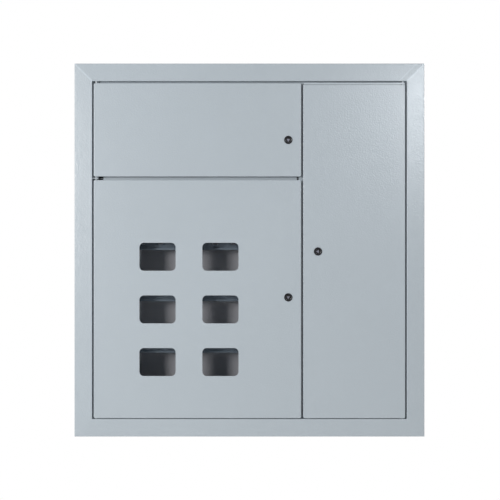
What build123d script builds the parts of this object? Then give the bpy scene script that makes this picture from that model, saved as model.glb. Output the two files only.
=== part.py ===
from build123d import *
from math import sqrt
import os

# All sizes are in millimetres: X runs to the right, Y to the back, Z up.
# The origin is the centre of the wall anchor holes, on the rear face of the back panel.

# Overall sizes
overall_width = 938.0
overall_height = 1000.0
overall_depth = 140.0

# Sheet steel
sheet = 1.2
bend = 0.6
tight_bend = 0.15
cut_over = 1.0

# Front frame
frame_face = 47.5
frame_overhang = 25.0
frame_edge_return = 12.0
frame_face_fall = 1.5
frame_inner_return = 20.0
stop_lip = 15.0
mitre_reach = 80.0

# Box
wall_flange = 18.0
rear_flange = 15.0
flange_end_gap = 1.5
anchor_inset_x = 52.8
anchor_inset_z = 43.8
anchor_radius = 4.5
knockout_side = 40.0
small_knockout_side = 22.0
knockout_groove_width = 1.6
knockout_groove_depth = 0.7
knockout_y = -62.0
knockout_spread = 105.0
small_knockout_spread = 48.0
earth_stud_half = 4.0
earth_stud_length = 22.0
earth_stud_inset_x = 42.8
earth_stud_inset_z = 78.8

# Doors
side_gap = 4.0
left_door_top_gap = 5.3
right_door_top_gap = 3.4
bottom_gap = 1.8
right_door_width = 273.5
switch_door_height = 250.2
centre_gap = 5.4
between_gap = 9.4
door_return = 16.0
corner_relief = 2.0
crease_drop = 6.6
crease_step = 2.0
crease_slope = 1.0
notch_width = 3.6

# Hinges
pin_inset = 6.0
pin_setback = 6.0
pin_radius = 2.0
pin_running_gap = 0.05
pin_free_gap = 0.3
pin_standout = 12.0
pin_plate_length = 12.0
pin_plate_depth = 8.5
pin_plate_thickness = 2.0
pin_plate_side = 3.9
hinge_tab_thickness = 2.0
hinge_tab_reach = 16.0
hinge_pin_reach = 7.5

# Mullion and crossbar
mullion_width = 18.0
mullion_depth = 28.0
crossbar_height = 17.0
crossbar_depth = 20.0
crossbar_left_notch = 27.9
crossbar_right_notch = 4.6
partition_front_gap = 15.0
partition_flange = 15.0
cable_pass_width = 60.0
cable_pass_depth = 32.0
cable_pass_end_gap = 93.8
cable_pass_pitch = 150.0

# Meter windows
window_width = 97.0
window_height = 75.0
window_corner = 12.0
window_pitch_x = 168.5
window_pitch_z = 141.0
window_from_edge = 300.65
window_drop = 27.45
pane_margin = 8.0
pane_thickness = 2.0
clip_width = 12.0
clip_thickness = 0.8
clip_foot = 9.0
clip_finger = 5.0
clip_edge_gap = 0.4

# Locks
switch_lock_drop = 27.2
meter_lock_drop = -4.75
right_lock_drop = 3.1
left_lock_edge = 34.7
right_lock_edge = 39.4
lock_head_radius = 11.0
lock_head_height = 2.0
lock_barrel_sides = 8
lock_barrel_half = 9.0
lock_hole_gap = 0.25
lock_barrel_end_gap = 0.9
lock_well_half = 7.2
lock_well_depth = 9.0
spindle_flange_half = 5.9
spindle_flange = 1.5
spindle_radius = 5.0
spindle_end_gap = 0.3
insert_side = 8.6
insert_recess = 2.0
fork_width = 26.0
fork_height = 28.0
fork_thickness = 2.0
fork_bridge = 5.0
cam_behind_plate = 0.6
cam_thickness = 3.0
cam_half_width = 8.0
cam_reach = 36.0
cam_chamfer = 3.0
cam_screw_half = 4.0
cam_screw_head = 2.6
cam_core = 2.2
cam_core_length = 7.0
key_down = -90.0
key_part_turned = -55.0
slot_below = 26.0
slot_above = 11.0
slot_depth = 7.0

# Device rails
rail_front = -65.0
rail_depth = 7.5
rail_thickness = 1.0
rail_height = 35.0
rail_channel = 25.0
rail_slot_length = 15.0
rail_slot_width = 6.3
rail_slot_pitch = 50.0
rail_end_margin = 15.0
meter_rail_drop = 36.1
meter_rail_left_gap = 57.8
meter_rail_right_gap = 36.0
meter_post_spare = 88.0
meter_post_left_inset = 62.5
meter_post_right_inset = 98.5
switch_rail_left_gap = 51.0
switch_rail_right_gap = 14.8
bracket_height = 60.0
post_flange = 25.0
post_foot = 20.0
post_sheet = 1.5
rail_screw_half = 4.0
rail_screw_head = 2.8
rail_screw_core = 2.2
rail_screw_length = 8.0
core_gap = 0.4

# Cover over the circuit breakers
cover_behind_lip = 8.8
cover_margin = 3.5
cover_return = 8.0
cover_sheet = 1.0
cover_slot_end_gap = 20.0
cover_slot_height = 46.0
cover_screw_inset = 12.0
cover_screw_half = 3.5
cover_screw_head = 2.2
cover_core = 1.8
cover_core_length = 9.0
standoff_half = 4.0

# Neutral and earth bars
bar_length = 240.0
bar_thickness = 8.0
bar_height = 11.0
bar_side_gap = 132.8
neutral_bar_lift = 101.8
earth_bar_lift = 65.8
bar_support_height = 22.0
bar_support_width = 16.0
bar_support_inset = 20.0
bar_screw_count = 6
bar_screw_pitch = 30.0
bar_screw_half = 3.4
bar_screw_head = 2.4

# Mounting plate of the low current compartment
plate_side_gap = 31.5
plate_end_gap = 83.8
plate_front = -20.0
plate_fold = 8.0
plate_slot_width = 28.0
plate_slot_height = 6.0
plate_slot_columns = 3
plate_slot_rows = 7
plate_slot_margin_x = 46.0
plate_slot_margin_z = 70.0
plate_fixing_inset = 16.0
plate_standoff_half = 5.0
plate_nut_half = 6.0
plate_nut_height = 3.0

# Positions that follow from the sizes above
half_width = overall_width / 2
half_height = overall_height / 2
front = -overall_depth
open_x = half_width - frame_face
open_z = half_height - frame_face
lip_front = front + frame_inner_return
lip_back = lip_front + sheet
box_x = half_width - frame_overhang
box_z = half_height - frame_overhang
inner_x = box_x - sheet
inner_z = box_z - sheet
frame_back = front + sheet
wall_front = frame_back + frame_face_fall * (box_x - open_x) / frame_face

left_edge = -open_x + side_gap
right_edge = open_x - side_gap
right_door_left = right_edge - right_door_width
centre_x = right_door_left - centre_gap / 2
left_doors_right = right_door_left - centre_gap
doors_bottom = -open_z + bottom_gap
left_door_top = open_z - left_door_top_gap
right_door_top = open_z - right_door_top_gap
switch_door_bottom = left_door_top - switch_door_height
between_z = switch_door_bottom - between_gap / 2
meter_door_top = switch_door_bottom - between_gap
crease_z = right_door_top - crease_drop

pin_y = front + pin_setback
left_pin_x = left_edge + pin_inset
right_pin_x = right_edge - pin_inset

mullion_left = centre_x - mullion_width / 2
mullion_right = centre_x + mullion_width / 2
partition_x = mullion_right - sheet
partition_front = lip_front + partition_front_gap

meters_middle_x = (mullion_left - inner_x) / 2
low_current_middle_x = (partition_x + inner_x) / 2

left_lock_x = left_doors_right - left_lock_edge
right_lock_x = right_door_left + right_lock_edge
switch_lock_z = (left_door_top + switch_door_bottom) / 2 - switch_lock_drop
meter_lock_z = (meter_door_top + doors_bottom) / 2 - meter_lock_drop
right_lock_z = (right_door_top + doors_bottom) / 2 - right_lock_drop
barrel_end = lip_back - lock_barrel_end_gap
well_floor = front + lock_well_depth
cam_front = lip_back + cam_behind_plate
cam_back = cam_front + cam_thickness

window_middle_x = left_doors_right - window_from_edge
window_middle_z = (meter_door_top + doors_bottom) / 2 - window_drop
meter_rail_left = meter_rail_left_gap - inner_x
meter_rail_right = mullion_left - meter_rail_right_gap
switch_rail_left = switch_rail_left_gap - inner_x
switch_rail_right = mullion_left - switch_rail_right_gap
cover_front = lip_back + cover_behind_lip

nodes = {}


def step_directions(path):
    """Unit direction of each step of a path."""
    steps = []
    for (ax, ay), (bx, by) in zip(path[:-1], path[1:]):
        length = sqrt((bx - ax) ** 2 + (by - ay) ** 2)
        steps.append(((bx - ax) / length, (by - ay) / length))
    return steps


def sheet_corners(path, thickness, side):
    """Corners of a sheet whose outer skin follows the path, before its folds are rounded.

    The metal lies to the left of the path when side is 1 and to the right when it is -1.
    """
    steps = step_directions(path)
    inner = []
    for i, (x, y) in enumerate(path):
        before = steps[max(i - 1, 0)]
        after = steps[min(i, len(steps) - 1)]
        n1 = (-side * before[1], side * before[0])
        n2 = (-side * after[1], side * after[0])
        scale = thickness / (1 + n1[0] * n2[0] + n1[1] * n2[1])
        inner.append((x + (n1[0] + n2[0]) * scale, y + (n1[1] + n2[1]) * scale))
    return path + inner[::-1]


def sheet_outline(path, thickness, side, folds=None):
    """Closed face of a folded sheet, each fold rounded on the inside and the outside.

    Folds gives the inner radius of each fold in turn; a fold of radius 0 is sharp.
    """
    steps = step_directions(path)
    if folds is None:
        folds = [bend] * (len(steps) - 1)
    outer_radii = [0]
    inner_radii = [0]
    for before, after, radius in zip(steps[:-1], steps[1:], folds):
        turn = side * (before[0] * after[1] - before[1] * after[0])
        wide = radius + thickness if radius > 0 else 0
        outer_radii.append(wide if turn > 0 else radius)
        inner_radii.append(radius if turn > 0 else wide)
    radii = outer_radii + [0, 0] + inner_radii[:0:-1] + [0]
    points = sheet_corners(path, thickness, side)
    return make_face(FilletPolyline(*points, radius=radii, close=True))


def sharp_outline(path, thickness, side):
    """Closed face of a folded sheet whose folds are sharp."""
    return make_face(Polyline(*sheet_corners(path, thickness, side), close=True))


def along_x(face, x_low, x_high):
    """Sweep a face drawn as (Y, Z) from x_low to x_high."""
    return extrude(Plane.YZ.offset(x_low) * face, x_high - x_low)


def along_z(face, z_low, z_high):
    """Sweep a face drawn as (X, Y) from z_low to z_high."""
    return extrude(Plane.XY.offset(z_low) * face, z_high - z_low)


def along_y(face, y_low, y_high):
    """Sweep a face drawn as (X, Z) from y_low to y_high."""
    return extrude(Plane.XZ.offset(-y_high) * face, y_high - y_low)


def block(x_low, x_high, y_low, y_high, z_low, z_high):
    """Box between six planes."""
    size = (x_high - x_low, y_high - y_low, z_high - z_low)
    middle = ((x_low + x_high) / 2, (y_low + y_high) / 2, (z_low + z_high) / 2)
    return Pos(*middle) * Box(*size)


def rod_y(x, z, radius, y_low, y_high):
    """Round bar along Y."""
    return along_y(Pos(x, z) * Circle(radius), y_low, y_high)


def rod_z(x, y, radius, z_low, z_high):
    """Round bar along Z."""
    return along_z(Pos(x, y) * Circle(radius), z_low, z_high)


def flat_bar_y(x, z, half, y_low, y_high, sides=6):
    """Bar along Y with flat sides, one of them on top; half is half its width across flats."""
    section = RegularPolygon(half, sides, major_radius=False, rotation=90 - 180 / sides)
    return along_y(Pos(x, z) * section, y_low, y_high)


def screw_y(x, z, seat, head_half, head, core, length):
    """Hex headed screw that bears on the plane y = seat, its thread drawn as a six sided core."""
    return flat_bar_y(x, z, head_half, seat - head, seat) + flat_bar_y(x, z, core, seat, seat + length)


# Back panel with its wall anchor holes and its earth stud
back_panel = block(-inner_x, inner_x, -sheet, 0, -inner_z, inner_z)
for place in GridLocations(2 * (inner_x - anchor_inset_x), 2 * (inner_z - anchor_inset_z), 2, 2):
    hole = place.position
    back_panel -= rod_y(hole.X, hole.Y, anchor_radius, -2 * sheet, sheet)
back_panel += flat_bar_y(
    earth_stud_inset_x - inner_x,
    earth_stud_inset_z - inner_z,
    earth_stud_half,
    -sheet - earth_stud_length,
    -sheet / 2,
)
nodes["back_panel"] = back_panel


# Side walls, each folded to a channel that laps the back panel and the frame
for name, sign in (("left_wall", -1), ("right_wall", 1)):
    path = [
        (sign * (inner_x - rear_flange), -sheet),
        (sign * box_x, -sheet),
        (sign * box_x, wall_front),
        (sign * (inner_x - wall_flange), wall_front),
    ]
    channel = sheet_outline(path, sheet, sign * -1, [bend, 0])
    wall = along_z(channel, -box_z, box_z)
    nodes[name] = wall


# Top and bottom walls, with square pressed knock-outs for the cables
knockout_row = [
    (meters_middle_x - knockout_spread, knockout_side),
    (meters_middle_x + knockout_spread, knockout_side),
    (low_current_middle_x - small_knockout_spread, small_knockout_side),
    (low_current_middle_x + small_knockout_spread, small_knockout_side),
]
for name, sign in (("top_wall", 1), ("bottom_wall", -1)):
    path = [
        (-sheet, sign * (inner_z - rear_flange)),
        (-sheet, sign * box_z),
        (wall_front, sign * box_z),
        (wall_front, sign * (inner_z - wall_flange)),
    ]
    channel = sheet_outline(path, sheet, sign, [bend, 0])
    end = inner_x - wall_flange - flange_end_gap
    wall = along_x(channel, -end, end)
    web_low = min(sign * inner_z, sign * box_z)
    web = block(-inner_x, inner_x, wall_front + sheet + bend, -2 * sheet - bend, web_low, web_low + sheet)
    wall += web
    for x, width in knockout_row:
        inside = width - 2 * knockout_groove_width
        groove = Rectangle(width, width) - Rectangle(inside, inside)
        face_z = sign * box_z
        low = min(face_z, face_z - sign * knockout_groove_depth)
        wall -= along_z(Pos(x, knockout_y) * groove, low, low + knockout_groove_depth)
    nodes[name] = wall


# Front frame: four folded strips with mitred corners and a stop lip behind the doors
def mitre_wedge():
    """Region of the left strip between its two mitre planes."""
    corners = [
        (-half_width, half_height),
        (-half_width + mitre_reach, half_height - mitre_reach),
        (-half_width + mitre_reach, -half_height + mitre_reach),
        (-half_width, -half_height),
    ]
    return make_face(Polyline(*corners, close=True))


def mitre_wedge_top():
    """Region of the top strip between its two mitre planes."""
    corners = [
        (-half_width, half_height),
        (half_width, half_height),
        (half_width - mitre_reach, half_height - mitre_reach),
        (-half_width + mitre_reach, half_height - mitre_reach),
    ]
    return make_face(Polyline(*corners, close=True))


for name, sign in (("frame_left", -1), ("frame_right", 1)):
    path = [
        (sign * half_width, front + frame_edge_return),
        (sign * half_width, front + frame_face_fall),
        (sign * open_x, front),
        (sign * open_x, lip_front),
        (sign * (open_x - stop_lip), lip_front),
    ]
    strip = along_z(sheet_outline(path, sheet, sign * -1), -half_height, half_height)
    wedge = along_y(mitre_wedge(), front - sheet, 0)
    if sign > 0:
        wedge = mirror(wedge, Plane.YZ)
    nodes[name] = strip & wedge

for name, sign in (("frame_top", 1), ("frame_bottom", -1)):
    path = [
        (front + frame_edge_return, sign * half_height),
        (front + frame_face_fall, sign * half_height),
        (front, sign * open_z),
        (lip_front, sign * open_z),
        (lip_front, sign * (open_z - stop_lip)),
    ]
    strip = along_x(sheet_outline(path, sheet, sign), -half_width, half_width)
    wedge = along_y(mitre_wedge_top(), front - sheet, 0)
    if sign < 0:
        wedge = mirror(wedge, Plane.XY)
    strip = strip & wedge
    hinge_lines = (left_pin_x, right_pin_x)
    for x in hinge_lines:
        z = sign * (open_z + sheet / 2)
        strip -= rod_z(x, pin_y, pin_radius + pin_running_gap, z - sheet, z + sheet)
    nodes[name] = strip


# Centre mullion: a folded channel whose sides have slots for the lock cams
mullion_path = [
    (mullion_left, lip_front + mullion_depth),
    (mullion_left, lip_front),
    (mullion_right, lip_front),
    (mullion_right, lip_front + mullion_depth),
]
mullion = along_z(sharp_outline(mullion_path, sheet, 1), -open_z + stop_lip, open_z - stop_lip)
slot_back = lip_back + slot_depth
for z in (switch_lock_z, meter_lock_z):
    mullion -= block(
        mullion_left - cut_over,
        mullion_left + 2 * sheet,
        lip_back,
        slot_back,
        z - slot_below,
        z + slot_above,
    )
mullion -= block(
    mullion_right - 2 * sheet,
    mullion_right + cut_over,
    lip_back,
    slot_back,
    right_lock_z - slot_below,
    right_lock_z + slot_above,
)
nodes["centre_mullion"] = mullion


# Vertical partition between the meters and the low current compartment
path = [
    (partition_x - sheet, partition_front),
    (partition_x - sheet, -sheet),
    (partition_x + partition_flange, -sheet),
]
flange_end = inner_z - rear_flange - flange_end_gap
partition = along_z(sharp_outline(path, sheet, -1), -flange_end, flange_end)
partition += block(
    partition_x - sheet, partition_x, partition_front, -2 * sheet - bend, -inner_z, inner_z
)
for z in (cable_pass_end_gap - inner_z, inner_z - cable_pass_end_gap):
    partition -= block(
        partition_x - 2 * sheet,
        partition_x + sheet,
        knockout_y - cable_pass_depth / 2,
        knockout_y + cable_pass_depth / 2,
        z - cable_pass_width / 2,
        z + cable_pass_width / 2,
    )
for sign in (-1, 1):
    partition -= block(
        partition_x - 2 * sheet,
        partition_x + sheet,
        lip_front,
        lip_back + mullion_depth,
        min(sign * (open_z - stop_lip), sign * box_z),
        max(sign * (open_z - stop_lip), sign * box_z),
    )
nodes["vertical_partition"] = partition


# Crossbar between the two left doors, cut away at both ends of its front face
crossbar_path = [
    (lip_front + crossbar_depth, between_z - crossbar_height / 2),
    (lip_front, between_z - crossbar_height / 2),
    (lip_front, between_z + crossbar_height / 2),
    (lip_front + crossbar_depth, between_z + crossbar_height / 2),
]
crossbar = along_x(sharp_outline(crossbar_path, sheet, -1), -inner_x, mullion_left)
for x_low, x_high in (
    (-box_x, -open_x + crossbar_left_notch),
    (mullion_left - crossbar_right_notch, centre_x),
):
    crossbar -= block(
        x_low,
        x_high,
        lip_front - cut_over,
        lip_back + bend,
        between_z - crossbar_height,
        between_z + crossbar_height,
    )
nodes["crossbar"] = crossbar


# Horizontal partition between the circuit breakers and the meters
shelf_top = between_z + sheet / 2
shelf_front = lip_back + flange_end_gap
path = [
    (shelf_front, shelf_top),
    (-sheet, shelf_top),
    (-sheet, shelf_top - partition_flange),
]
shelf = along_x(
    sharp_outline(path, sheet, -1),
    -inner_x + rear_flange + flange_end_gap,
    partition_x - sheet - flange_end_gap,
)
shelf += block(
    -inner_x, partition_x - sheet, shelf_front, -2 * sheet - bend, shelf_top - sheet, shelf_top
)
shelf -= block(
    mullion_left - flange_end_gap,
    partition_x,
    lip_front,
    lip_front + mullion_depth + flange_end_gap,
    between_z - crossbar_height,
    between_z + crossbar_height,
)
for step in (-1, 0, 1):
    x = meters_middle_x + step * cable_pass_pitch
    shelf -= block(
        x - cable_pass_width / 2,
        x + cable_pass_width / 2,
        knockout_y + cable_pass_depth / 2,
        knockout_y + 3 * cable_pass_depth / 2,
        shelf_top - 2 * sheet,
        shelf_top + sheet,
    )
nodes["horizontal_partition"] = shelf


# Hinge bracket between the left doors: a tab and one pin that both doors turn on
tab = block(
    -open_x,
    -open_x + hinge_tab_reach,
    front + 2 * sheet,
    lip_front - 2 * sheet,
    between_z - hinge_tab_thickness / 2,
    between_z + hinge_tab_thickness / 2,
)
pin_half = between_gap / 2 + hinge_pin_reach
tab += rod_z(left_pin_x, pin_y, pin_radius, between_z - pin_half, between_z + pin_half)
nodes["middle_hinge_bracket"] = tab


# Doors: folded pans with open corners
def door_pan(x_low, x_high, z_low, z_high, crease=None):
    """Pan with four returns; above the crease the face is set back by a shallow step."""
    back = front + door_return
    if crease is None:
        path = [(back, z_low), (front, z_low), (front, z_high), (back, z_high)]
        side_top = z_high - corner_relief
    else:
        path = [
            (back, z_low),
            (front, z_low),
            (front, crease),
            (front + crease_step, crease + crease_slope),
            (front + crease_step, z_high),
            (back, z_high),
        ]
        side_top = crease
    if crease is None:
        lying = sheet_outline(path, sheet, -1)
    else:
        lying = sheet_outline(path, sheet, -1, [tight_bend] * (len(path) - 2))
    pan = along_x(lying, x_low + corner_relief, x_high - corner_relief)
    path = [(x_low, back), (x_low, front), (x_high, front), (x_high, back)]
    standing = sheet_outline(path, sheet, 1)
    pan += along_z(standing, z_low + corner_relief, side_top)
    return pan


switch_door = door_pan(left_edge, left_doors_right, switch_door_bottom, left_door_top)
meter_door = door_pan(left_edge, left_doors_right, doors_bottom, meter_door_top)
right_door = door_pan(right_door_left, right_edge, doors_bottom, right_door_top, crease_z)

def pin_cutout(x, z_low, z_high):
    """Square hole that clears a fixed pin in a return."""
    reach = pin_radius + pin_free_gap
    return block(x - reach, x + reach, pin_y - reach, pin_y + reach, z_low, z_high)


def lock_cutout(x, z):
    """Eight sided hole that stops the lock body from turning."""
    hole = lock_barrel_half + lock_hole_gap
    return flat_bar_y(x, z, hole, front - cut_over, frame_back + cut_over, lock_barrel_sides)


running = pin_radius + pin_running_gap
deep = 2 * sheet
switch_door -= lock_cutout(left_lock_x, switch_lock_z)
switch_door -= rod_z(left_pin_x, pin_y, running, switch_door_bottom - cut_over, switch_door_bottom + deep)
switch_door -= pin_cutout(left_pin_x, left_door_top - deep, left_door_top + cut_over)
meter_door -= lock_cutout(left_lock_x, meter_lock_z)
meter_door -= rod_z(left_pin_x, pin_y, running, meter_door_top - deep, meter_door_top + cut_over)
meter_door -= pin_cutout(left_pin_x, doors_bottom - cut_over, doors_bottom + deep)
right_door -= lock_cutout(right_lock_x, right_lock_z)
right_door -= pin_cutout(right_pin_x, right_door_top - deep, right_door_top + cut_over)
right_door -= pin_cutout(right_pin_x, doors_bottom - cut_over, doors_bottom + deep)
# A notch beside the upper pin of the right door clears the frame as the door turns.
notch_right = right_pin_x - pin_radius - 2 * pin_free_gap
right_door -= block(
    notch_right - notch_width, notch_right, front - cut_over, front + deep + crease_step,
    crease_z, right_door_top + cut_over,
)

window_spots = [
    (place.position.X + window_middle_x, place.position.Y + window_middle_z)
    for place in GridLocations(window_pitch_x, window_pitch_z, 2, 3)
]
window_spots.sort(key=lambda spot: (-spot[1], spot[0]))
for x, z in window_spots:
    opening = Pos(x, z) * RectangleRounded(window_width, window_height, window_corner)
    meter_door -= along_y(opening, front - cut_over, frame_back + cut_over)

nodes["switch_door"] = switch_door
nodes["meter_door"] = meter_door
nodes["low_current_door"] = right_door


# Hinge pins: each stands on a plate that is welded inside a door's return
def door_pin(x, skin_z, up, setback=0.0):
    """Pin and plate; skin_z is the outer face of the return and up its direction."""
    seat = skin_z - up * sheet
    plate_low = min(seat, seat - up * pin_plate_thickness)
    toward_edge = 1 if x > 0 else -1
    edge_x = x + toward_edge * pin_plate_side
    far_x = edge_x - toward_edge * pin_plate_length
    plate = block(
        min(edge_x, far_x),
        max(edge_x, far_x),
        front + deep + tight_bend + setback,
        front + deep + pin_plate_depth,
        plate_low,
        plate_low + pin_plate_thickness,
    )
    tip = skin_z + up * pin_standout
    low = min(tip, seat - up * pin_plate_thickness)
    high = max(tip, seat - up * pin_plate_thickness)
    return plate + rod_z(x, pin_y, pin_radius, low, high)


nodes["switch_door_pin"] = door_pin(left_pin_x, left_door_top, 1)
nodes["meter_door_pin"] = door_pin(left_pin_x, doors_bottom, -1)
nodes["low_current_door_pins"] = Compound([
    door_pin(right_pin_x, right_door_top, 1, crease_step),
    door_pin(right_pin_x, doors_bottom, -1),
])


# Quarter-turn locks: body, fork clip, spindle with a three-cornered key face, cam and screw
def lock_body(x, z):
    """Round head, eight sided barrel and key well, and a running bore for the spindle."""
    body = rod_y(x, z, lock_head_radius, front - lock_head_height, front)
    body += flat_bar_y(x, z, lock_barrel_half, front, barrel_end, lock_barrel_sides)
    well_top = front - lock_head_height - cut_over
    body -= flat_bar_y(x, z, lock_well_half, well_top, well_floor, lock_barrel_sides)
    body -= rod_y(x, z, spindle_radius + pin_running_gap, front, barrel_end + cut_over)
    return body


def lock_clip(x, z):
    """Fork pushed down over the flats of the barrel, behind the door."""
    fork = Pos(x, z + lock_barrel_half - fork_height / 2 + fork_bridge) * Rectangle(fork_width, fork_height)
    mouth = Pos(x, z + lock_barrel_half - fork_height) * Rectangle(2 * lock_barrel_half, 2 * fork_height)
    return along_y(fork - mouth, frame_back, frame_back + fork_thickness)


def lock_spindle(x, z, turn):
    """Spindle that carries the key triangle at the front and the cam seat at the rear."""
    flange_back = well_floor - spindle_end_gap
    flange_front = flange_back - spindle_flange
    shaft = rod_y(x, z, spindle_radius, flange_back, cam_front)
    shaft += flat_bar_y(x, z, spindle_flange_half, flange_front, flange_back)
    triangle = Pos(x, z) * Rot(0, 0, turn) * RegularPolygon(insert_side / sqrt(3), 3)
    shaft += along_y(triangle, front + insert_recess - lock_head_height, flange_front)
    shaft -= flat_bar_y(x, z, cam_core, cam_front - cam_core_length, cam_front + cut_over)
    return shaft


def lock_cam(x, z):
    """Flat cam hanging down from the spindle, with its corners cut off."""
    blade = chamfer(Rectangle(2 * cam_half_width, cam_reach + cam_half_width).vertices(), cam_chamfer)
    cam = along_y(Pos(x, z + (cam_half_width - cam_reach) / 2) * blade, cam_front, cam_back)
    return cam - flat_bar_y(x, z, cam_core, cam_front - cut_over, cam_back + cut_over)


# The triangles point down on two locks; the third was left part turned.
locks = [
    ("switch_lock", left_lock_x, switch_lock_z, key_down),
    ("low_current_lock", right_lock_x, right_lock_z, key_part_turned),
    ("meter_lock", left_lock_x, meter_lock_z, key_down),
]
cam_screw = screw_y(0, 0, 0, cam_screw_half, cam_screw_head, cam_core, cam_core_length)
for name, x, z, turn in locks:
    nodes[name + "_body"] = lock_body(x, z)
    nodes[name + "_clip"] = lock_clip(x, z)
    nodes[name + "_spindle"] = lock_spindle(x, z, turn)
    nodes[name + "_cam"] = lock_cam(x, z)
    nodes[name + "_cam_screw"] = Pos(x, cam_back, z) * Rot(0, 0, 180) * cam_screw


# Window panes and their clips
clips = []
for number, (x, z) in enumerate(window_spots, 1):
    width = window_width + 2 * pane_margin
    height = window_height + 2 * pane_margin
    pane = Pos(x, z) * Rectangle(width, height)
    nodes[f"window_pane_{number}"] = along_y(pane, frame_back, frame_back + pane_thickness)
    for sign in (-1, 1):
        edge = z + sign * (height / 2 + clip_edge_gap)
        finger_y = frame_back + pane_thickness
        path = [
            (frame_back, edge + sign * clip_foot),
            (frame_back, edge),
            (finger_y, edge),
            (finger_y, edge - sign * clip_finger),
        ]
        section = sharp_outline(path, clip_thickness, sign)
        clips.append(along_x(section, x - clip_width / 2, x + clip_width / 2))
nodes["pane_clips"] = Compound(clips)


# Device rails on folded posts and brackets
def device_rail(x_low, x_high, z, fixings):
    """Hat section rail with slots along its web, and a hole at each fixing."""
    x = (x_low + x_high) / 2
    length = x_high - x_low
    half = rail_height / 2
    half_web = rail_channel / 2
    rail_back = rail_front + rail_depth
    web_y = rail_back - rail_thickness
    path = [
        (rail_front, z + half),
        (rail_front, z + half_web),
        (web_y, z + half_web),
        (web_y, z - half_web),
        (rail_front, z - half_web),
        (rail_front, z - half),
    ]
    rail = along_x(sharp_outline(path, rail_thickness, 1), x_low, x_high)
    count = int((length - 2 * rail_end_margin) // rail_slot_pitch)
    slot = Rectangle(rail_slot_length, rail_slot_width)
    for i in range(count):
        slot_x = x + (i - (count - 1) / 2) * rail_slot_pitch
        rail -= along_y(Pos(slot_x, z) * slot, rail_front, rail_back + cut_over)
    for hole_x in fixings:
        rail -= flat_bar_y(hole_x, z, rail_screw_core + core_gap, rail_front, rail_back + cut_over)
    return rail


def rail_post(x, sign, z_low, z_high, screw_heights):
    """Z section post from the back panel to the rails; sign is the side its foot is on."""
    mount = rail_front + rail_depth
    path = [
        (x + sign * post_foot, -sheet),
        (x, -sheet),
        (x, mount + post_sheet),
        (x - sign * post_flange, mount + post_sheet),
    ]
    post = along_z(sharp_outline(path, post_sheet, sign), z_low, z_high)
    for z in screw_heights:
        post -= flat_bar_y(
            x - sign * post_flange / 2, z, rail_screw_core, mount - cut_over, mount + 2 * post_sheet
        )
    return post


meter_rail_spots = [
    window_middle_z + meter_rail_drop + row * window_pitch_z for row in (1, 0, -1)
]
left_post_x = meter_rail_left + meter_post_left_inset
right_post_x = meter_rail_right - meter_post_right_inset
meter_fixings = (left_post_x + post_flange / 2, right_post_x - post_flange / 2)
for number, z in enumerate(meter_rail_spots, 1):
    nodes[f"meter_rail_{number}"] = device_rail(meter_rail_left, meter_rail_right, z, meter_fixings)
post_low = meter_rail_spots[2] - meter_post_spare / 2
post_high = meter_rail_spots[0] + meter_post_spare / 2
nodes["meter_post_left"] = rail_post(left_post_x, -1, post_low, post_high, meter_rail_spots)
nodes["meter_post_right"] = rail_post(right_post_x, 1, post_low, post_high, meter_rail_spots)

switch_rail_z = (left_door_top + switch_door_bottom) / 2
switch_fixings = (switch_rail_left + post_flange / 2, switch_rail_right - post_flange / 2)
nodes["switch_rail"] = device_rail(switch_rail_left, switch_rail_right, switch_rail_z, switch_fixings)
bracket_low = switch_rail_z - bracket_height / 2
bracket_high = switch_rail_z + bracket_height / 2
nodes["switch_rail_brackets"] = Compound([
    rail_post(switch_rail_left, -1, bracket_low, bracket_high, [switch_rail_z]),
    rail_post(switch_rail_right, 1, bracket_low, bracket_high, [switch_rail_z]),
])

fixing_rows = [(meter_fixings, z) for z in meter_rail_spots]
fixing_rows.append((switch_fixings, switch_rail_z))
rail_screws = []
for fixings, z in fixing_rows:
    for x in fixings:
        rail_screws.append(screw_y(
            x,
            z,
            rail_front + rail_depth - rail_thickness,
            rail_screw_half,
            rail_screw_head,
            rail_screw_core,
            rail_screw_length,
        ))
nodes["rail_screws"] = Compound(rail_screws)


# Cover over the circuit breakers, held by four screws in long stand-offs
cover_left = -open_x + stop_lip + cover_margin
cover_right = mullion_left - cover_margin
cover_low = between_z + crossbar_height / 2 + cover_margin
cover_high = open_z - stop_lip - cover_margin
cover_back = cover_front + cover_return
path = [
    (cover_back, cover_low),
    (cover_front, cover_low),
    (cover_front, cover_high),
    (cover_back, cover_high),
]
cover = along_x(
    sharp_outline(path, cover_sheet, -1), cover_left + corner_relief, cover_right - corner_relief
)
path = [
    (cover_left, cover_back),
    (cover_left, cover_front),
    (cover_right, cover_front),
    (cover_right, cover_back),
]
cover += along_z(
    sharp_outline(path, cover_sheet, 1), cover_low + corner_relief, cover_high - corner_relief
)
cover_skin = cover_front + cover_sheet
cover -= block(
    cover_left + cover_slot_end_gap,
    cover_right - cover_slot_end_gap,
    cover_front - cut_over,
    cover_skin + cut_over,
    switch_rail_z - cover_slot_height / 2,
    switch_rail_z + cover_slot_height / 2,
)
standoffs = []
cover_screws = []
for x in (cover_left + cover_screw_inset, cover_right - cover_screw_inset):
    for z in (cover_low + cover_screw_inset, cover_high - cover_screw_inset):
        cover -= flat_bar_y(x, z, cover_core + core_gap, cover_front - cut_over, cover_skin + cut_over)
        post = flat_bar_y(x, z, standoff_half, cover_skin, -sheet)
        post -= flat_bar_y(x, z, cover_core, cover_skin - cut_over, cover_front + cover_core_length)
        standoffs.append(post)
        cover_screws.append(screw_y(
            x, z, cover_front, cover_screw_half, cover_screw_head, cover_core, cover_core_length
        ))
nodes["breaker_cover"] = cover
nodes["cover_standoffs"] = Compound(standoffs)
nodes["cover_screws"] = Compound(cover_screws)


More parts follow.
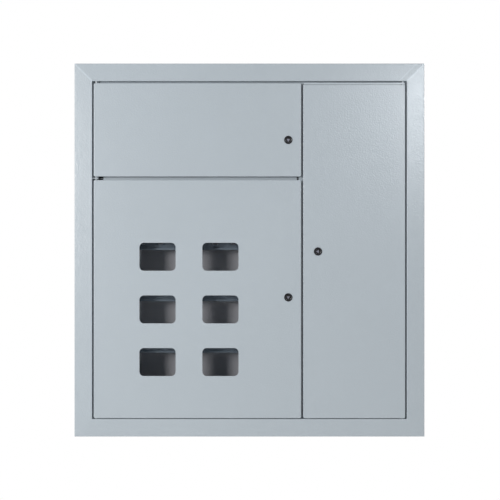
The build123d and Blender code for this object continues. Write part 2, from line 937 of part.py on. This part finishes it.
# Neutral and earth bars on their supports
bar_back = -sheet - bar_support_height
bar_front = bar_back - bar_thickness
bar_middle_x = -inner_x + bar_side_gap + bar_length / 2
supports = []
bar_screws = []
for name, z in (("neutral_bar", neutral_bar_lift - inner_z), ("earth_bar", earth_bar_lift - inner_z)):
    bar = block(
        bar_middle_x - bar_length / 2,
        bar_middle_x + bar_length / 2,
        bar_front,
        bar_back,
        z - bar_height / 2,
        z + bar_height / 2,
    )
    for sign in (-1, 1):
        x = bar_middle_x + sign * (bar_length / 2 - bar_support_inset)
        half = bar_support_width / 2
        supports.append(block(x - half, x + half, bar_back, -sheet, z - half, z + half))
    for i in range(bar_screw_count):
        x = bar_middle_x + (i - (bar_screw_count - 1) / 2) * bar_screw_pitch
        bar_screws.append(flat_bar_y(x, z, bar_screw_half, bar_front - bar_screw_head, bar_front))
    nodes[name] = bar
nodes["bar_supports"] = Compound(supports)
nodes["bar_screws"] = Compound(bar_screws)


# Perforated mounting plate of the low current compartment
plate_x = low_current_middle_x
plate_width = inner_x - partition_x - 2 * plate_side_gap
plate_height = 2 * (inner_z - plate_end_gap)
plate_slot_pitch_x = (plate_width - 2 * plate_slot_margin_x) / (plate_slot_columns - 1)
plate_slot_pitch_z = (plate_height - 2 * plate_slot_margin_z) / (plate_slot_rows - 1)
plate_back = plate_front + sheet
path = [
    (plate_x - plate_width / 2, plate_front - plate_fold),
    (plate_x - plate_width / 2, plate_back),
    (plate_x + plate_width / 2, plate_back),
    (plate_x + plate_width / 2, plate_front - plate_fold),
]
plate = along_z(sharp_outline(path, sheet, -1), -plate_height / 2, plate_height / 2)
for place in GridLocations(plate_slot_pitch_x, plate_slot_pitch_z, plate_slot_columns, plate_slot_rows):
    spot = place.position
    opening = Pos(plate_x + spot.X, spot.Y) * Rectangle(plate_slot_width, plate_slot_height)
    plate -= along_y(opening, plate_front - cut_over, plate_back + cut_over)
plate_posts = []
for place in GridLocations(
    plate_width - 2 * plate_fixing_inset, plate_height - 2 * plate_fixing_inset, 2, 2
):
    x = plate_x + place.position.X
    z = place.position.Y
    plate -= flat_bar_y(
        x, z, rail_screw_core + core_gap, plate_front - cut_over, plate_back + cut_over
    )
    post = flat_bar_y(x, z, plate_standoff_half, plate_back, -sheet)
    post += flat_bar_y(x, z, rail_screw_core, plate_front - plate_nut_height, plate_back)
    post += flat_bar_y(x, z, plate_nut_half, plate_front - plate_nut_height, plate_front)
    plate_posts.append(post)
nodes["low_current_plate"] = plate
nodes["plate_standoffs"] = Compound(plate_posts)


os.makedirs("parts", exist_ok=True)
for name, shape in nodes.items():
    shape.label = name
    export_step(shape, f"parts/{name}.step")
    print(name, len(shape.solids()), round(shape.volume), shape.is_valid)
print(len(nodes), "nodes")
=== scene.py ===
from math import cos, pi, radians, sin

import bmesh
import bpy
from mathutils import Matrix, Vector


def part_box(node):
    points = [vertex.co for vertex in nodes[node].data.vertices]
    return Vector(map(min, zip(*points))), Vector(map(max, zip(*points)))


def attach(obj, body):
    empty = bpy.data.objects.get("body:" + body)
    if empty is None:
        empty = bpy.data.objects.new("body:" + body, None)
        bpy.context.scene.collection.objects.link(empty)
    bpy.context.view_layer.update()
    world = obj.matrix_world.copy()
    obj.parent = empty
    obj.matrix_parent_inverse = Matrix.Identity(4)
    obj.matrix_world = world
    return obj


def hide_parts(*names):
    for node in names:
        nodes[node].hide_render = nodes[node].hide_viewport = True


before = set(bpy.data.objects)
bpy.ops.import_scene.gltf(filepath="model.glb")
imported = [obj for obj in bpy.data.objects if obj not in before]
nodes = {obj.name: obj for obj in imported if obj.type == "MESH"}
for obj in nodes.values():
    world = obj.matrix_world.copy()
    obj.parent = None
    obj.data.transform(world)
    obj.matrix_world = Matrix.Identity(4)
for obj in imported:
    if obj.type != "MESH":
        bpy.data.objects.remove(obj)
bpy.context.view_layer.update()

scene = bpy.context.scene
scene.view_settings.view_transform = "Standard"

# Places in metres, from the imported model
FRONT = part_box("frame_left")[0].y
HALF_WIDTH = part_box("frame_right")[1].x
HALF_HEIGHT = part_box("frame_top")[1].z

# The photograph: its width at the plane of the doors, and where its centre falls on the object
PHOTO_WIDTH = 1.3393
PHOTO_CENTRE = Vector((0.0014, FRONT, 0.0001))
CAMERA_DISTANCE = 3.2

# Height of the bend line near the top of the narrow door
CREASE_HEIGHT = 0.4430


# ---------------------------------------------------------------- materials
# Range that a noise texture keeps to for the most part
NOISE_LOW = 0.3
NOISE_HIGH = 0.7

# Lines painted along the mitre joints at the upper frame corners: highlights where the joints catch the light,
# and at the right a darker band between them. Each has its offset from the joint and its half width without and
# with the soft edge, in metres along X, then the factor on the paint's colour, and whether the left corner has
# it too
PAINTED_MITRE_LINES = (
    (0.0, 0.0012, 0.0042, 1.16, True),
    (0.0095, 0.0055, 0.0085, 0.95, False),
    (0.0205, 0.0008, 0.0034, 1.09, False),
)

# In metres: where a painted highlight runs along a door's outline, and how far the painted shade of the bend
# line reaches, each without and with the soft edge
HIGHLIGHT_CORE, HIGHLIGHT_EDGE = 0.0003, 0.0013
CREASE_CORE, CREASE_EDGE = 0.0005, 0.0012


class Graph:
    """Small helper that builds the node graph of one material."""

    def __init__(self, name):
        self.material = bpy.data.materials.new(name)
        self.material.use_nodes = True
        self.tree = self.material.node_tree
        self.tree.nodes.clear()
        self.output = self.add("ShaderNodeOutputMaterial")
        self.shader = self.add("ShaderNodeBsdfPrincipled")
        self.link(self.shader.outputs["BSDF"], self.output.inputs["Surface"])
        self.coordinates = self.add("ShaderNodeTexCoord").outputs["Object"]

    def add(self, kind):
        return self.tree.nodes.new(kind)

    def link(self, a, b):
        self.tree.links.new(a, b)

    def feed(self, value, socket):
        if hasattr(value, "is_output"):
            self.link(value, socket)
        else:
            socket.default_value = value

    def math(self, operation, a, b=0.0):
        n = self.add("ShaderNodeMath")
        n.operation = operation
        self.feed(a, n.inputs[0])
        self.feed(b, n.inputs[1])
        return n.outputs[0]

    def distance(self, value, place):
        return self.math("ABSOLUTE", self.math("SUBTRACT", value, place))

    def object_axes(self):
        """Object coordinates, with the outputs X, Y and Z."""
        split = self.add("ShaderNodeSeparateXYZ")
        self.link(self.coordinates, split.inputs[0])
        return split.outputs

    def noise(self, scale, detail=2.0, roughness=0.5, stretch=None):
        n = self.add("ShaderNodeTexNoise")
        n.inputs["Scale"].default_value = scale
        n.inputs["Detail"].default_value = detail
        n.inputs["Roughness"].default_value = roughness
        where = self.coordinates
        if stretch:
            m = self.add("ShaderNodeMapping")
            m.inputs["Scale"].default_value = stretch
            self.link(where, m.inputs["Vector"])
            where = m.outputs[0]
        self.link(where, n.inputs["Vector"])
        return n.outputs["Fac"]

    def remap(self, value, low, high, from_low=NOISE_LOW, from_high=NOISE_HIGH):
        """Value from from_low to from_high, clamped, as low to high; the usual input is a noise."""
        n = self.add("ShaderNodeMapRange")
        self.feed(value, n.inputs["Value"])
        n.inputs["From Min"].default_value = from_low
        n.inputs["From Max"].default_value = from_high
        n.inputs["To Min"].default_value = low
        n.inputs["To Max"].default_value = high
        return n.outputs["Result"]

    def mix(self, factor, a, b):
        n = self.add("ShaderNodeMix")
        n.data_type = "RGBA"
        self.feed(factor, n.inputs["Factor"])
        self.feed(a, n.inputs["A"])
        self.feed(b, n.inputs["B"])
        return n.outputs["Result"]

    def bump(self, *layers):
        """Layers are (height, strength, distance in metres), laid one over the other."""
        normal = None
        for height, strength, distance in layers:
            n = self.add("ShaderNodeBump")
            n.inputs["Strength"].default_value = strength
            n.inputs["Distance"].default_value = distance
            self.link(height, n.inputs["Height"])
            if normal is not None:
                self.link(normal, n.inputs["Normal"])
            normal = n.outputs["Normal"]
        self.link(normal, self.shader.inputs["Normal"])


def srgb(r, g, b):
    """Linear colour of a screen colour given from 0 to 255."""
    out = []
    for v in (r, g, b):
        v /= 255
        out.append(v / 12.92 if v <= 0.04045 else ((v + 0.055) / 1.055) ** 2.4)
    return (*out, 1.0)


def shade(colour, factor):
    return tuple(min(1.0, c * factor) for c in colour[:3]) + (1.0,)


def powder_coat(name, colour, mitre_lines_painted=False, highlight_box=None, crease=None, gloss=0.5, rough=0.215):
    """Textured powder coat: hammered grain over orange peel, faint mottling, softly uneven gloss.

    mitre_lines_painted draws painted highlights and a darker band along the mitre joints of the frame's upper
    corners, highlight_box is the box (low, high) along whose outline a patchy highlight is painted, and crease
    is the height of a bend line along which shade is painted.
    """
    g = Graph(name)
    cloud = g.noise(3.0, 3.0)
    grain = g.noise(420.0, 2.0)
    hammer = g.noise(270.0, 1.0)
    peel = g.noise(650.0, 2.0, 0.6)
    fine = g.noise(1900.0, 2.0)
    tone = g.mix(g.remap(cloud, 0.0, 1.0), shade(colour, 0.985), shade(colour, 1.015))
    tone = g.mix(g.remap(grain, 0.0, 0.2), tone, shade(colour, 1.04))
    axes = g.object_axes()
    if highlight_box:
        low, high = highlight_box
        near_side, near_end = (
            g.math("MINIMUM", g.math("SUBTRACT", axes[axis], start), g.math("SUBTRACT", stop, axes[axis]))
            for axis, start, stop in (("X", low.x, high.x), ("Z", low.z, high.z))
        )
        # Painted highlight: the door's outline is drawn lighter in patches, as its rounded bend catches the
        # light
        near = g.remap(g.math("MINIMUM", near_side, near_end), 1.0, 0.0, HIGHLIGHT_CORE, HIGHLIGHT_EDGE)
        outline_highlight = g.math("MULTIPLY", near, g.remap(g.noise(55.0, 4.0, 0.7), 0.0, 0.5, 0.4, 0.6))
        tone = g.mix(outline_highlight, tone, shade(colour, 1.22))
    if crease:
        # Painted shade along the bend line near the top of the narrow door
        off = g.distance(axes["Z"], crease)
        tone = g.mix(g.remap(off, 0.75, 0.0, CREASE_CORE, CREASE_EDGE), tone, shade(colour, 0.42))
    if mitre_lines_painted:
        # Highlights and a darker band painted along the mitre joints of the upper corners
        inward_x = g.math("SUBTRACT", HALF_WIDTH, g.math("ABSOLUTE", axes["X"]))
        inward_z = g.math("SUBTRACT", HALF_HEIGHT, g.math("ABSOLUTE", axes["Z"]))
        offset = g.math("SUBTRACT", inward_x, inward_z)
        upper = g.math("GREATER_THAN", axes["Z"], 0.0)
        upper_right = g.math("MULTIPLY", upper, g.math("GREATER_THAN", axes["X"], 0.0))
        for place, core, edge, factor, at_both in PAINTED_MITRE_LINES:
            painted_line = g.remap(g.distance(offset, place), 1.0, 0.0, core, edge)
            painted_line = g.math("MULTIPLY", painted_line, upper if at_both else upper_right)
            tone = g.mix(painted_line, tone, shade(colour, factor))
    g.link(tone, g.shader.inputs["Base Color"])
    g.link(g.remap(g.noise(30.0, 3.0), rough, rough + 0.035), g.shader.inputs["Roughness"])
    g.shader.inputs["Specular IOR Level"].default_value = gloss
    g.shader.inputs["IOR"].default_value = 1.5
    g.bump((hammer, 0.5, 0.0006), (peel, 0.18, 0.0004), (fine, 0.14, 0.00016))
    return g.material


def zinc(name, colour, rough, brushed=False, metallic=0.85, gloss=0.5):
    """Zinc plated steel: a faint crystal pattern under cloudy patches, or under lines brushed along X."""
    g = Graph(name)
    cells = g.add("ShaderNodeTexVoronoi")
    cells.inputs["Scale"].default_value = 160.0
    g.link(g.coordinates, cells.inputs["Vector"])
    crystal = g.add("ShaderNodeSeparateColor")
    g.link(cells.outputs["Color"], crystal.inputs[0])
    streak = g.noise(160.0, 3.0, 0.6, (0.12, 1.0, 1.0)) if brushed else g.noise(38.0, 3.0, 0.6)
    tone = g.mix(crystal.outputs[0], shade(colour, 0.94), shade(colour, 1.05))
    tone = g.mix(g.remap(streak, 0.0, 0.4), tone, shade(colour, 0.84))
    g.link(tone, g.shader.inputs["Base Color"])
    g.shader.inputs["Metallic"].default_value = metallic
    g.shader.inputs["Specular IOR Level"].default_value = gloss
    g.link(g.remap(streak, rough - 0.05, rough + 0.09), g.shader.inputs["Roughness"])
    g.bump((streak, 0.15, 0.0001))
    return g.material


def plastic(name, colour, rough, speck=1.25, gloss=0.5):
    """Moulded plastic with a fine spark-eroded grain, whose light specks are speck times the colour."""
    g = Graph(name)
    grain = g.noise(1500.0, 2.0)
    tone = g.mix(g.remap(grain, 0.0, 1.0), shade(colour, 0.88), shade(colour, speck))
    g.link(tone, g.shader.inputs["Base Color"])
    g.link(g.remap(g.noise(220.0, 2.0), rough - 0.05, rough + 0.07), g.shader.inputs["Roughness"])
    g.shader.inputs["Specular IOR Level"].default_value = gloss
    g.bump((grain, 0.25, 0.00006))
    return g.material


def brass(name, colour):
    """Drawn brass bar with lengthwise lines and slight tarnish."""
    g = Graph(name)
    line = g.noise(240.0, 3.0, 0.6, (0.05, 1.0, 1.0))
    tarnish = g.noise(26.0, 3.0)
    tone = g.mix(g.remap(tarnish, 0.0, 0.6), colour, shade(colour, 0.62))
    tone = g.mix(g.remap(line, 0.0, 0.3), tone, shade(colour, 1.15))
    g.link(tone, g.shader.inputs["Base Color"])
    g.shader.inputs["Metallic"].default_value = 1.0
    g.link(g.remap(line, 0.24, 0.38), g.shader.inputs["Roughness"])
    g.bump((line, 0.12, 0.00008))
    return g.material


def pane(name):
    """Clear acrylic sheet: see-through, with a faint blue gloss and soft smears."""
    g = Graph(name)
    smear = g.noise(34.0, 3.0, 0.6)
    tone = g.mix(g.remap(smear, 0.0, 1.0), srgb(40, 52, 66), srgb(58, 72, 86))
    g.link(tone, g.shader.inputs["Base Color"])
    g.link(g.remap(smear, 0.05, 0.11), g.shader.inputs["Roughness"])
    g.shader.inputs["Alpha"].default_value = 0.07
    g.shader.inputs["IOR"].default_value = 1.49
    g.shader.inputs["Specular IOR Level"].default_value = 0.08
    g.bump((g.noise(22.0, 1.0), 0.05, 0.0004))
    return g.material


def key_face(name, metal, painted_well_shade, split):
    """Zinc key triangle over a flange painted black as shade in the lock's well: split is the Y plane, in
    metres, between the two.
    """
    g = Graph(name)
    # Behind the split the flange is painted black, as shade in the lock's well
    behind = g.math("GREATER_THAN", g.object_axes()["Y"], split)
    wear = g.noise(900.0, 3.0, 0.6)
    tone = g.mix(g.remap(wear, 0.0, 1.0), shade(metal, 0.8), shade(metal, 1.1))
    g.link(g.mix(behind, tone, painted_well_shade), g.shader.inputs["Base Color"])
    g.link(g.math("MULTIPLY", g.math("SUBTRACT", 1.0, behind), 0.8), g.shader.inputs["Metallic"])
    g.link(g.remap(wear, 0.32, 0.5), g.shader.inputs["Roughness"])
    g.bump((wear, 0.2, 0.00008))
    return g.material


PAINT = srgb(178, 188, 196)
# Depth behind the doors' front at which the zinc key triangle ends and the flange painted black as shade starts
KEY_DEPTH = 0.0068

paint_frame = powder_coat("frame_powder_coat", PAINT, mitre_lines_painted=True)
# Door coats: a painted highlight along each door's outline, and on the narrow door painted shade along its bend
# line
door_paint = {
    name: powder_coat(name + "_powder_coat", PAINT, highlight_box=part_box(name), crease=crease)
    for name, crease in (("switch_door", None), ("meter_door", None), ("low_current_door", CREASE_HEIGHT))
}
# Inside parts: the same powder coat painted 10 % darker, as painted shade
shaded_inside_paint = powder_coat("shaded_inside_powder_coat", shade(PAINT, 0.9))
paint_rear = powder_coat("rear_sheet_coat", srgb(184, 184, 189), gloss=0.06, rough=0.5)
rail_zinc = zinc("rail_zinc", srgb(114, 126, 138), 0.46, brushed=True, metallic=0.2, gloss=0.25)
fitting_zinc = zinc("fitting_zinc", srgb(158, 161, 165), 0.32)
lock_black = plastic("lock_black_plastic", srgb(15, 15, 20), 0.24, gloss=0.13)
lock_rim = plastic("lock_rim_polished", srgb(20, 24, 34), 0.2, gloss=0.85)
support_plastic = plastic("support_plastic", srgb(66, 84, 120), 0.45, 1.1)
bar_brass = brass("bar_brass", srgb(186, 164, 118))
clear_pane = pane("clear_acrylic")
key_zinc = key_face("key_face_zinc", srgb(104, 104, 114), srgb(14, 14, 16), FRONT + KEY_DEPTH)

RAILS = ("meter_rail_1", "meter_rail_2", "meter_rail_3", "switch_rail")
INSIDE = (
    "left_wall", "right_wall", "top_wall", "bottom_wall", "centre_mullion",
    "vertical_partition", "horizontal_partition", "crossbar", "breaker_cover",
)


def material_for(name):
    if name.startswith("frame_"):
        return paint_frame
    if name in door_paint:
        return door_paint[name]
    if name == "back_panel":
        return paint_rear
    if name in INSIDE or name == "middle_hinge_bracket":
        return shaded_inside_paint
    if name in RAILS:
        return rail_zinc
    if name.startswith("window_pane"):
        return clear_pane
    if name.endswith("lock_body"):
        return lock_black
    if name.endswith("lock_spindle"):
        return key_zinc
    if name in ("neutral_bar", "earth_bar"):
        return bar_brass
    if name == "bar_supports":
        return support_plastic
    return fitting_zinc


for name, node in nodes.items():
    node.data.materials.clear()
    node.data.materials.append(material_for(name))


# ---------------------------------------------------------------- lock bodies
# In metres, as in the source of the part, with the fine roundings of a moulding added
HEAD_RADIUS = 0.011
HEAD_ROUNDING = 0.0009
GROOVE_OUTER = 0.0090
GROOVE_WALL = 0.0087
GROOVE_INNER = 0.0082
GROOVE_DEPTH = 0.00035
WELL_RADIUS = 0.0070
WELL_LIP = 0.0013
WELL_FLOOR = FRONT + 0.009
BORE_RADIUS = 0.00505
BARREL_FLAT = 0.009
BARREL_SIDES = 8

# Number of sides that stands for a round ring
ROUND = 0
# Points around a turned piece, steps in a rounded corner, and the angle from which an edge is drawn sharp
LATHE_STEPS = 64
ARC_STEPS = 5
SHARP_ANGLE = radians(28)


def rim_radius(radius, sides, angle):
    """Radius at an angle of a circle, or of a polygon whose flats lie at that radius."""
    if sides == ROUND:
        return radius
    step = 2 * pi / sides
    return radius / cos((angle + step / 2) % step - step / 2)


def turned(name, profile, x, z, material, body, lip_material, lip_steps):
    """Closed mesh of a profile of (y, radius, sides) turned about the axis along Y at x, z.

    lip_material covers the steps of the profile in lip_steps, and material the others.
    """
    mesh = bpy.data.meshes.new(name)
    bm = bmesh.new()
    rings = []
    for y, radius, sides in profile:
        ring = []
        for i in range(LATHE_STEPS):
            angle = 2 * pi * i / LATHE_STEPS
            r = rim_radius(radius, sides, angle)
            ring.append(bm.verts.new((x + r * cos(angle), y, z + r * sin(angle))))
        rings.append(ring)
    for step, (a, b) in enumerate(zip(rings, rings[1:] + rings[:1])):
        for i in range(LATHE_STEPS):
            j = (i + 1) % LATHE_STEPS
            face = bm.faces.new((a[i], a[j], b[j], b[i]))
            face.material_index = 1 if step in lip_steps else 0
    bmesh.ops.recalc_face_normals(bm, faces=bm.faces)
    for face in bm.faces:
        face.smooth = True
    bm.to_mesh(mesh)
    bm.free()
    mesh.set_sharp_from_angle(angle=SHARP_ANGLE)
    mesh.materials.append(material)
    mesh.materials.append(lip_material)
    piece = bpy.data.objects.new(name, mesh)
    scene.collection.objects.link(piece)
    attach(piece, body)
    return piece


def arc(y, radius, rounding, start, stop):
    """Points of a rounded corner about (y, radius), as (y, radius) pairs."""
    for k in range(ARC_STEPS + 1):
        angle = start + (stop - start) * k / ARC_STEPS
        yield y - rounding * sin(angle), radius + rounding * cos(angle)


for door in door_paint:
    lock = door.replace("_door", "_lock")
    low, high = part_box(lock + "_body")
    head_front = low.y
    centre_x, centre_z = (low.x + high.x) / 2, (low.z + high.z) / 2
    profile = [(FRONT, HEAD_RADIUS, ROUND)]
    profile += [
        (y, r, ROUND)
        for y, r in arc(head_front + HEAD_ROUNDING, HEAD_RADIUS - HEAD_ROUNDING, HEAD_ROUNDING, 0.0, pi / 2)
    ]
    groove_floor = head_front + GROOVE_DEPTH
    profile += [
        (head_front, GROOVE_OUTER, ROUND),
        (groove_floor, GROOVE_WALL, ROUND),
        (groove_floor, GROOVE_INNER, ROUND),
    ]
    lip_start = len(profile)
    profile += [
        (y, r, ROUND)
        for y, r in arc(groove_floor + WELL_LIP, WELL_RADIUS + WELL_LIP, WELL_LIP, pi / 2, pi)
    ]
    lip_steps = range(lip_start, len(profile) - 1)
    profile += [
        (WELL_FLOOR, WELL_RADIUS, ROUND),
        (WELL_FLOOR, BORE_RADIUS, ROUND),
        (high.y, BORE_RADIUS, ROUND),
        (high.y, BARREL_FLAT, BARREL_SIDES),
        (FRONT, BARREL_FLAT, BARREL_SIDES),
    ]
    piece = turned(
        lock + "_moulded_body", profile, centre_x, centre_z, lock_black, door, lock_rim, lip_steps
    )
    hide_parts(lock + "_body")


# ---------------------------------------------------------------- camera
camera_data = bpy.data.cameras.new("camera")
camera = bpy.data.objects.new("camera", camera_data)
scene.collection.objects.link(camera)
camera.location = PHOTO_CENTRE + Vector((0.0, -CAMERA_DISTANCE, 0.0))
camera.rotation_euler = (radians(90), 0.0, 0.0)
camera_data.sensor_fit = "HORIZONTAL"
camera_data.sensor_width = 36.0
camera_data.lens = camera_data.sensor_width * CAMERA_DISTANCE / PHOTO_WIDTH
camera_data.clip_end = 50.0
scene.camera = camera


# ---------------------------------------------------------------- floor and light
# The floor lies below the picture and ends behind the board, so that the picture's background is white
FLOOR_Z = -HALF_HEIGHT - 0.30
FLOOR_X = 2.2
FLOOR_FRONT_Y = -2.4
FLOOR_BACK_Y = 0.36

pale_floor = Graph("pale_floor")
pale_floor.shader.inputs["Base Color"].default_value = (0.90, 0.87, 0.83, 1.0)
pale_floor.shader.inputs["Roughness"].default_value = 0.9
floor_mesh = bpy.data.meshes.new("floor")
floor_mesh.from_pydata(
    [
        (-FLOOR_X, FLOOR_FRONT_Y, FLOOR_Z),
        (FLOOR_X, FLOOR_FRONT_Y, FLOOR_Z),
        (FLOOR_X, FLOOR_BACK_Y, FLOOR_Z),
        (-FLOOR_X, FLOOR_BACK_Y, FLOOR_Z),
    ],
    [],
    [(0, 1, 2, 3)],
)
floor_mesh.materials.append(pale_floor.material)
floor = bpy.data.objects.new("floor", floor_mesh)
scene.collection.objects.link(floor)

# Light that the world gives to the object; seen directly, mirrored or through glass, the world is white
AMBIENT = 0.31
world = bpy.data.worlds.new("studio")
scene.world = world
world.use_nodes = True
tree = world.node_tree
tree.nodes.clear()


def background(colour, strength):
    n = tree.nodes.new("ShaderNodeBackground")
    n.inputs["Color"].default_value = colour
    n.inputs["Strength"].default_value = strength
    return n.outputs[0]


path = tree.nodes.new("ShaderNodeLightPath")
seen = path.outputs["Is Camera Ray"]
for ray in ("Is Glossy Ray", "Is Transmission Ray"):
    either = tree.nodes.new("ShaderNodeMath")
    either.operation = "MAXIMUM"
    tree.links.new(seen, either.inputs[0])
    tree.links.new(path.outputs[ray], either.inputs[1])
    seen = either.outputs[0]
choose = tree.nodes.new("ShaderNodeMixShader")
tree.links.new(seen, choose.inputs[0])
tree.links.new(background((0.97, 0.985, 1.0, 1.0), AMBIENT), choose.inputs[1])
tree.links.new(background((1.0, 1.0, 1.0, 1.0), 1.0), choose.inputs[2])
world_out = tree.nodes.new("ShaderNodeOutputWorld")
tree.links.new(choose.outputs[0], world_out.inputs["Surface"])


def softbox(name, place, size, power, colour=(1.0, 0.995, 0.985)):
    """Area lamp at a place, of a size and power in metres and watts, that faces the centre of the doors."""
    data = bpy.data.lights.new(name, "AREA")
    data.shape = "RECTANGLE"
    data.size, data.size_y = size
    data.energy = power
    data.color = colour
    lamp = bpy.data.objects.new(name, data)
    scene.collection.objects.link(lamp)
    lamp.location = place
    direction = Vector((0.0, FRONT, 0.0)) - Vector(place)
    lamp.rotation_euler = direction.to_track_quat("-Z", "Y").to_euler()
    return lamp


softbox("softbox_left", (-2.22, -3.75, 0.5), (1.0, 1.1), 111.0)
# This lamp makes only the highlight at the upper right
sheen_lamp = softbox("softbox_right", (1.13, -3.0, 0.82), (0.6, 0.58), 24.5, (0.9, 0.95, 1.0))
sheen_lamp.visible_diffuse = False
softbox("softbox_rear", (2.2, 2.6, 1.3), (1.6, 1.6), 80.0)
